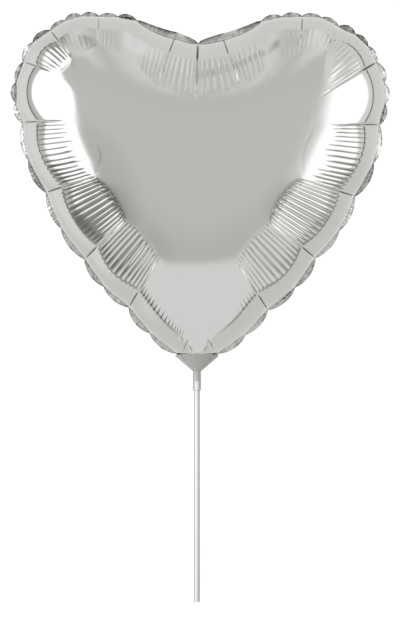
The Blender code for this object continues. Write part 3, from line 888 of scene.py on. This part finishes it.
def paintedShadeAcross(tree, rows, radius):
    # painted shade: grey by the place from left to right, in rows of place, from -1 to 1, and grey; also gives
    # the height
    parts = addNode(tree, "SeparateXYZ", {0: objectPlace(tree)})
    ramp = addNode(tree, "ValToRGB", {"Fac": mapped(tree, parts.outputs["X"], -radius, radius)})
    stops, warm = ramp.color_ramp.elements, 0.98  # blue over red
    while len(stops) < len(rows):
        stops.new(0.5)
    for stop, (at, grey) in zip(stops, rows):
        stop.position = (at + 1.0) / 2.0
        stop.color = (grey, grey, grey * warm, 1.0)
    return ramp.outputs["Color"], parts.outputs["Z"]


silver = {
    "colour": (0.660, 0.655, 0.645),
    # colour of the painted shade in folds, valleys, spots and wrinkles
    "foldShadeColour": (0.10, 0.10, 0.095),
    "foldFrom": 0.35,         # painted shade below which none is seen
    "roughness": 0.10,
}


def foilMaterial():
    material, tree = newMaterial("silverFoil")
    # the silver darkened by the painted shade
    dark = mapped(tree, foldShade(tree), silver["foldFrom"])
    colour = blend(tree, dark, silver["colour"], silver["foldShadeColour"])
    return shaded(material, {"Base Color": colour, "Metallic": 1.0, "Roughness": silver["roughness"]})


sealed = {
    "colour": (0.66, 0.66, 0.645),
    "pinchShadeColour": (0.07, 0.07, 0.065),   # painted shade, deep between two bumps
    "roughness": 0.14,
    "cells": (-0.30, 0.32),   # painted reflection of the crinkles: shade of the lightest and the darkest cell
    "crinkleSize": 420.0,
    "crinkleBump": 0.35,
    "crinkleDepth": 0.001,
}


def hemMaterial():
    material, tree = newMaterial("sealedFoil")
    crinkle = addNode(tree, "TexVoronoi", {"Vector": objectPlace(tree), "Scale": sealed["crinkleSize"]})
    # painted shade from the mesh, and painted reflection in the crinkle cells
    shades = {0: foldShade(tree), 1: mapped(tree, crinkle.outputs["Color"], 0.0, 1.0, *sealed["cells"])}
    total = addNode(tree, "Math", shades, operation="ADD", use_clamp=True)
    return shaded(material, {
        "Base Color": blend(tree, total.outputs[0], sealed["colour"], sealed["pinchShadeColour"]),
        "Normal": bumpOf(tree, crinkle.outputs["Distance"], sealed["crinkleBump"], sealed["crinkleDepth"]),
        "Metallic": 1.0,
        "Roughness": sealed["roughness"],
    })


frosted = {
    "light": (0.56, 0.56, 0.54),
    "dark": (0.45, 0.45, 0.433),
    "roughness": 0.38,
    "refraction": 1.45,
    "grain": 900.0,
    "grainDetail": 3.0,
    "grainBump": 0.25,
    "grainDepth": 0.0003,
    "soft": 0.0005,           # half the height over which one colour becomes the next
    # painted shade across the socket, darker where one looks along its wall; painted lighter where the stick is
    # behind it
    "socket": ((-0.92, 0.20), (-0.72, 0.58), (0.00, 0.56), (0.60, 0.44), (0.95, 0.50)),
    "overStick": ((-0.92, 0.20), (-0.70, 0.55), (-0.45, 0.92), (0.05, 0.90), (0.40, 0.64), (0.80, 0.46)),
}


def cupMaterial():
    material, tree = newMaterial("frostedPlastic")
    grain = addNode(tree, "TexNoise", {"Vector": objectPlace(tree), "Scale": frosted["grain"],
                                       "Detail": frosted["grainDetail"]})
    colour = blend(tree, grain.outputs["Fac"], frosted["dark"], frosted["light"])
    # painted shade across the socket and over the stick's end, by the place from left to right
    for rows, top in ((frosted["socket"], cup["coneFoot"]), (frosted["overStick"], stick["length"])):
        across, z = paintedShadeAcross(tree, rows, cup["socketRadius"])
        below = mapped(tree, z, top + frosted["soft"], top - frosted["soft"])
        colour = blend(tree, below, colour, across)
    return shaded(material, {
        "Base Color": colour,
        "Normal": bumpOf(tree, grain.outputs["Fac"], frosted["grainBump"], frosted["grainDepth"]),
        "Roughness": frosted["roughness"],
        "IOR": frosted["refraction"],
    })


white = {
    # painted shade: a dark line down the left edge, and darker toward the right, away from the light
    "across": ((-0.92, 0.04), (-0.70, 0.94), (-0.1, 0.92), (0.4, 0.68), (0.95, 0.44)),
    "roughness": (0.22, 0.38),
    "drawnLines": 2600.0,     # faint lines along the drawn tube
    "drawnStretch": 0.01,
    "lineBump": 0.10,
    "lineDepth": 0.0001,
}


def stickMaterial():
    material, tree = newMaterial("whitePlastic")
    # painted shade across the stick, by the place from left to right
    across = paintedShadeAcross(tree, white["across"], stick["radius"])[0]
    stretch = (1.0, 1.0, white["drawnStretch"])
    squeeze = addNode(tree, "Mapping", {"Vector": objectPlace(tree), "Scale": stretch})
    drawn = addNode(tree, "TexNoise", {"Vector": squeeze.outputs["Vector"], "Scale": white["drawnLines"]})
    return shaded(material, {
        "Base Color": across,
        "Normal": bumpOf(tree, drawn.outputs["Fac"], white["lineBump"], white["lineDepth"]),
        "Roughness": mapped(tree, drawn.outputs["Fac"], 0.0, 1.0, *white["roughness"]),
    })


# Studio: what stands round the balloon, as brightness by direction. Front means toward the photographer, and
# steep is the rise over the distance aside. Two places say where a thing begins and where it is whole, three
# where it starts and ends and how softly. Before them is its brightness, or else how much it adds. What is
# named for both sides has a value for the left and one for the right
studio = {
    "leastDivisor": 0.02,
    "right": (-0.05, 0.05),         # where the values of the right side take over
    "front": 0.735,                 # grey room behind the photographer
    "low": (0.64, (0.05, 0.40)),    # a little darker below eye level
    "high": (0.71, (0.25, 0.50)),   # and above it
    "dim": (0.10, (0.10, -0.05)),   # how much darker the room is next to the left box
    "dimAside": (0.26, 0.60, 0.08),
    "dimSteep": ((-0.60, -0.44), (-0.80, -1.00)),
    "top": 0.80,                    # a row of long soft lamps overhead
    "overhead": (0.66, 0.84),
    "topMiddle": (0.12, (0.30, 0.08)),  # how much further down they come in the middle
    "topLeft": (0.52, (0.13, 0.28, 0.05), (0.13, 0.34, 0.05)),  # by the places aside and in front
    "topRight": (0.88, (0.12, 0.26), (0.34, 0.20)),
    "lampPitch": 0.70,              # between two lamps, and where the first one hangs
    "lampStart": 0.30,
    "lampContrast": 0.14,           # how much brighter they are than that, and how much darker the gaps
    "back": 0.87,                   # white backdrop
    "backLow": (0.79, (0.10, 0.40)),
    "backLeft": (0.97, (0.60, 0.85)),
    "backEnd": (-0.19, -0.17),
    "line": 0.15,                   # dark edge between the backdrop and the room
    "lineLow": (0.36, (0.30, 0.50)),
    "lineFront": (-0.180, -0.105, 0.015),
    "lineAside": (0.45, 0.65),
    "lineSag": (0.10, (0.22, 0.50)),  # how much further forward it stands down beside the balloon
    "gap": (0.68, 0.93),            # between that edge and the soft boxes, on both sides
    "gapFront": (0.19, 0.14),
    "floor": 0.94,
    "floorLow": (0.358, 0.398),     # the floor begins this far below eye level, in front
    "floorRound": 0.60,             # and a little lower aside
    "floorRoundEnd": 0.36,
    "floorSteep": 0.87,             # and this steeply below it, aside
    "floorSlant": (-0.03, 0.03),
    "boxBright": (1.65, 1.55),      # soft boxes on both sides
    "boxDim": (0.80, (0.52, 0.96)),  # front edge of the right one
    "boxLean": (0.07, (0.05, 0.45)),  # how much sooner it gets dim higher up
    "boxAside": (0.36, 0.50),
    "boxLow": (-0.47, -0.41),
    "boxSag": (0.045, (0.18, 0.70, 0.12)),  # how much lower they hang halfway along
    "boxHigh": (1.20, 0.63),        # their upper edge on both sides
    "boxHighEdge": (-0.05, 0.05),
    "boxBack": (0.105, 0.175),
    "boxFrontLeft": (0.85, 0.75),
    "boxFrontRight": (1.015, 0.895),
    "boxSlant": (0.26, (0.40, 0.85)),  # how much further back the left one ends higher up
    "boxStep": (0.04, (0.05, -0.15)),  # and lower down
    "boxCorner": (0.11, (-0.33, -0.47)),  # and at its lower corner
    "dark": (0.22, 0.44),           # dark space under the boxes, on both sides
    "darkLow": (-0.44, -0.50),
    "darkAside": (0.24, 0.78),
    "darkLower": (0.40, (-0.62, -0.86)),  # how much lighter it is further down
    "darkMiddle": (0.12, (0.22, 0.58, 0.08)),  # and halfway along
    "over": (0.34, 0.90),           # and over them, on both sides
    "overAside": (0.40, 0.60),
    "overEnd": (2.0, 1.45),
    "overEndEdge": (0.08, -0.08),
    "white": 1.05,                  # what the camera sees of the backdrop
    "soft": 0.88,                   # light on what doesn't shine: all round, more from some sides
    "softFront": 0.10,
    "softLeft": 0.42,
    "softAbove": 0.40,
    "grey": (0.96, 0.80),           # only what is darker than white has a tint
    "tint": (("Red", 0.010), ("Green", 0.004), ("Blue", -0.028)),
}


def addStudio():
    scene = bpy.context.scene
    scene.view_settings.view_transform = "Standard"
    world = bpy.data.worlds.new("studio")
    scene.world = world
    world.use_nodes = True
    tree = world.node_tree

    def calc(operation, first, second=0.0):
        return addNode(tree, "Math", {0: first, 1: second}, operation=operation).outputs[0]

    def times(total, *values):
        for value in values:
            total = calc("MULTIPLY", total, value)
        return total

    def plus(first, second):
        return calc("ADD", first, second)

    def minus(first, second):
        return calc("SUBTRACT", first, second)

    def fade(value, start, whole, soft=None):
        # 0 at the start and 1 from where it is whole, or 1 between the two with soft ends
        if soft is not None:
            return times(fade(value, start - soft, start + soft), fade(value, whole + soft, whole - soft))
        return mapped(tree, value, start, whole, interpolation_type="SMOOTHSTEP")

    def within(value, name):
        return fade(value, *studio[name])

    def cover(under, over, mask):
        return addNode(tree, "Mix", {"Factor": mask, "A": under, "B": over}).outputs["Result"]

    def laid(under, name, *values):
        # the named thing over what is under it, where each of the values is between its places
        brightness, *places = studio[name]
        return cover(under, brightness, times(*(fade(v, *p) for v, p in zip(values, places))))

    def more(value, name):
        amount, places = studio[name]
        return times(fade(value, *places), amount)

    def bySide(name):
        return cover(*studio[name], onRight)

    place = addNode(tree, "TexCoord", {}).outputs["Generated"]
    right, behind, up = addNode(tree, "SeparateXYZ", {0: place}).outputs
    down, front, leftward = (times(value, -1.0) for value in (up, behind, right))
    away = calc("ABSOLUTE", right)
    steep = calc("DIVIDE", up, calc("MAXIMUM", away, studio["leastDivisor"]))
    onRight = within(right, "right")

    light = laid(studio["front"], "low", down)
    light = laid(light, "high", up)
    beside = plus(*(fade(steep, *places) for places in studio["dimSteep"]))
    light = times(light, minus(1.0, times(beside, within(leftward, "dimAside"), more(up, "dim"))))

    lean = calc("DIVIDE", away, calc("MAXIMUM", up, studio["leastDivisor"]))
    turn = times(minus(lean, studio["lampStart"]), 2.0 * math.pi / studio["lampPitch"])
    lamps = plus(times(calc("COSINE", turn), studio["lampContrast"]), 1.0)
    over = laid(laid(studio["top"], "topLeft", leftward, front), "topRight", right, front)
    light = cover(light, times(over, lamps), within(plus(up, more(away, "topMiddle")), "overhead"))

    overBox = within(minus(steep, bySide("boxHigh")), "boxHighEdge")
    underEnd = within(minus(steep, bySide("overEnd")), "overEndEdge")
    light = cover(light, bySide("over"), times(underEnd, overBox, within(away, "overAside")))
    hung = plus(steep, more(front, "boxSag"))
    under = plus(plus(bySide("dark"), more(front, "darkMiddle")), more(steep, "darkLower"))
    light = cover(light, under, times(within(away, "darkAside"), within(hung, "darkLow")))

    slant = minus(down, times(away, studio["floorSteep"]))
    nearAside = calc("MINIMUM", away, studio["floorRoundEnd"])
    lower = minus(down, times(nearAside, nearAside, studio["floorRound"]))
    light = cover(light, studio["floor"], times(within(lower, "floorLow"), within(slant, "floorSlant")))

    level = times(within(hung, "boxLow"), minus(1.0, overBox))
    light = cover(light, bySide("gap"), times(level, within(away, "lineAside"), within(front, "gapFront")))
    slantwise = front
    for name in ("boxSlant", "boxStep", "boxCorner"):
        slantwise = plus(slantwise, more(steep, name))
    boxEnd = cover(within(slantwise, "boxFrontLeft"), within(front, "boxFrontRight"), onRight)
    box = times(within(front, "boxBack"), boxEnd, level, within(away, "boxAside"))
    leftBox, rightBox = studio["boxBright"]
    rightBox = laid(rightBox, "boxDim", plus(front, more(steep, "boxLean")))
    light = cover(light, cover(leftBox, rightBox, onRight), box)

    edge = minus(front, more(down, "lineSag"))
    line = laid(studio["line"], "lineLow", down)
    light = cover(light, line, times(within(edge, "lineFront"), within(away, "lineAside")))
    back = laid(laid(studio["back"], "backLow", down), "backLeft", leftward)
    light = cover(back, light, within(edge, "backEnd"))

    seen = addNode(tree, "LightPath", {})
    soft = plus(times(front, studio["softFront"]), times(up, studio["softAbove"]))
    soft = minus(soft, times(right, studio["softLeft"]))
    soft = calc("MAXIMUM", plus(soft, studio["soft"]), 0.0)
    light = cover(light, soft, seen.outputs["Is Diffuse Ray"])
    light = cover(light, studio["white"], seen.outputs["Is Camera Ray"])
    grey = within(light, "grey")
    tinted = {channel: times(light, plus(times(grey, tint), 1.0)) for channel, tint in studio["tint"]}
    feed(tree, tree.nodes["Background"], {"Color": addNode(tree, "CombineColor", tinted).outputs["Color"]})


# Floor: pale, just under the stick's end
floor = {
    "radius": 0.45,
    "sides": 96,
    "drop": 0.004,
    "colour": (0.90, 0.90, 0.90),
    "speckle": 0.02,
    "speckleScale": 60.0,
    "roughness": 0.9,
    "glow": 0.25,
}


def addFloor():
    material, tree = newMaterial("paleFloor")
    speckle = addNode(tree, "TexNoise", {"Vector": objectPlace(tree), "Scale": floor["speckleScale"]})
    darker = tuple(value - floor["speckle"] for value in floor["colour"])
    colour = blend(tree, speckle.outputs["Fac"], floor["colour"], darker)
    shaded(material, {"Base Color": colour, "Roughness": floor["roughness"],
                      "Emission Color": colour, "Emission Strength": floor["glow"]})
    points = [(floor["radius"] * math.cos(a), floor["radius"] * math.sin(a), -floor["drop"])
              for a in anglesRound(floor["sides"])]
    disc = addMesh("floor", points, [list(range(floor["sides"]))], material)
    disc.visible_glossy = False
    disc.visible_diffuse = False


addCamera()
addStudio()
addFloor()
spans = spanList()
sheet = buildSheet(spans)
heights = sheetHeights(sheet, spans)
foilLook = foilMaterial()
for name, side, body in (("foil_front", -1, "balloon"), ("foil_back", 1, "balloon")):
    relief, shade = reliefOf(sheet, spans, foil["seed"] + side)
    piece = makeFoil(name + "_film", sheet, heights, relief, shade, side, foilLook)
    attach(piece, body)
    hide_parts(name)
print("foil sheets made")

for piece, body, node, slot in ((makeHem(spans, hemMaterial()), "balloon", "seam_flange", "sealed_foil"),
                                (makeCup(cupMaterial()), "balloon", "cup", "frosted_plastic"),
                                (makeStick(stickMaterial()), "stick", "stick", "white_plastic")):
    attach(piece, body)
    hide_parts(node)
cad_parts["fill_tail"].data.materials[0] = foilLook
print("hem, cup and stick made")
